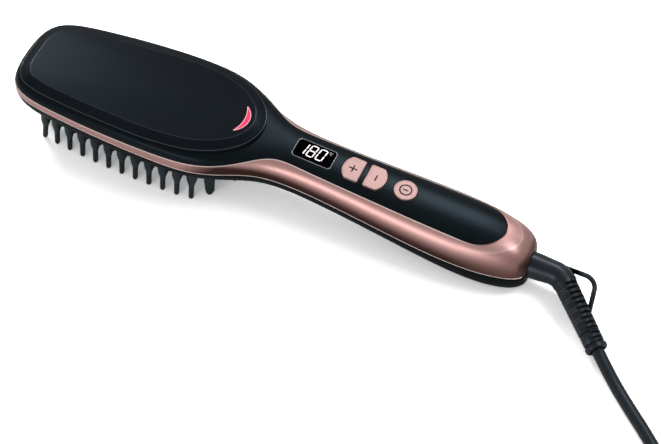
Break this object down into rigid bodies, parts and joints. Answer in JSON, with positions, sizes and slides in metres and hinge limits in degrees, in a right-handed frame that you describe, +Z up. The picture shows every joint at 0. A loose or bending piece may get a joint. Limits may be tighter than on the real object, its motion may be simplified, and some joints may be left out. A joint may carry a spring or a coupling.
{
  "type": "hair straightener brush",
  "caption": "Heated hair straightening brush: paddle head with pins, grip with display and keys, mains cord on a swivelling elbow.",
  "frame": {"origin": "under the middle of the body's box, on the surface that the pin tips and the grip rest on", "axes": "+X from the head to the cord end, +Z up, away from the bristles"},
  "size_m": [0.5038, 0.1526, 0.0452],
  "materials": {
    "shell_black": "satin moulded",
    "rose_metal": "metallised satin rose",
    "key_rose": "metallised, radially brushed",
    "panel_gloss": "high gloss",
    "light_red": "diffusing, lit",
    "circuit_green": "solder mask",
    "bezel_grey": "metallised",
    "window_dark": "gloss tinted",
    "component_black": "matte",
    "capacitor_yellow": "matte",
    "screw_steel": "plain",
    "pin_black": "satin moulded",
    "heater_aluminium": "dark ceramic coat",
    "heater_ceramic": "matte",
    "mica_amber": "satin",
    "contact_brass": "nickel plated",
    "lead_insulation": "matte",
    "cord_rubber": "matte"
  },
  "bodies": {
    "housing": {"bottom_cover": "shell_black", "bristle_frame": "shell_black", "control_board": "circuit_green", "cover_screws": "screw_steel", "display_bezel": "bezel_grey", "display_module": "component_black", "display_window": "window_dark", "filter_capacitor": "capacitor_yellow", "guard_bristles": "pin_black", "head_panel": "panel_gloss", "head_screws": "screw_steel", "heated_teeth": "heater_aluminium", "heater_clamp": "screw_steel", "heater_leads": "lead_insulation", "heating_plate": "heater_aluminium", "ion_generator": "component_black", "light_board": "circuit_green", "light_lens": "light_red", "mica_sheet": "mica_amber", "neck_teeth": "pin_black", "power_leads": "lead_insulation", "power_triac": "component_black", "ptc_heaters": "heater_ceramic", "slip_ring": "contact_brass", "standing_bristles": "pin_black", "swivel_socket": "component_black", "tact_switches": "component_black", "temperature_sensor": "component_black", "thermal_fuse": "heater_ceramic", "tooth_caps": "pin_black", "top_cover": "shell_black", "trim_frame": "rose_metal"},
    "minus_key": {"minus_button": "key_rose"},
    "plus_key": {"plus_button": "key_rose"},
    "power_key": {"power_button": "key_rose"},
    "cord_swivel": {"swivel_elbow": "cord_rubber", "hanging_loop": "cord_rubber", "cord_tube": "cord_rubber", "cord_coil": "cord_rubber", "plug_lead": "cord_rubber", "plug_body": "cord_rubber", "plug_pins": "contact_brass"}
  },
  "joints": [
    {"name": "minus_press", "type": "slide", "parent": "housing", "child": "minus_key", "axis": [-0.0666, 0, -0.9978], "range_m": [0, 0.0008], "stiffness_N_per_m": 1200},
    {"name": "plus_press", "type": "slide", "parent": "housing", "child": "plus_key", "axis": [-0.0666, 0, -0.9978], "range_m": [0, 0.0008], "stiffness_N_per_m": 1200},
    {"name": "power_press", "type": "slide", "parent": "housing", "child": "power_key", "axis": [-0.0563, 0, -0.9984], "range_m": [0, 0.0008], "stiffness_N_per_m": 1200},
    {"name": "cord_turn", "type": "hinge", "parent": "housing", "child": "cord_swivel", "pos_m": [0.14469, 0, 0.01307], "axis": [-1, 0, 0], "continuous": true}
  ]
}
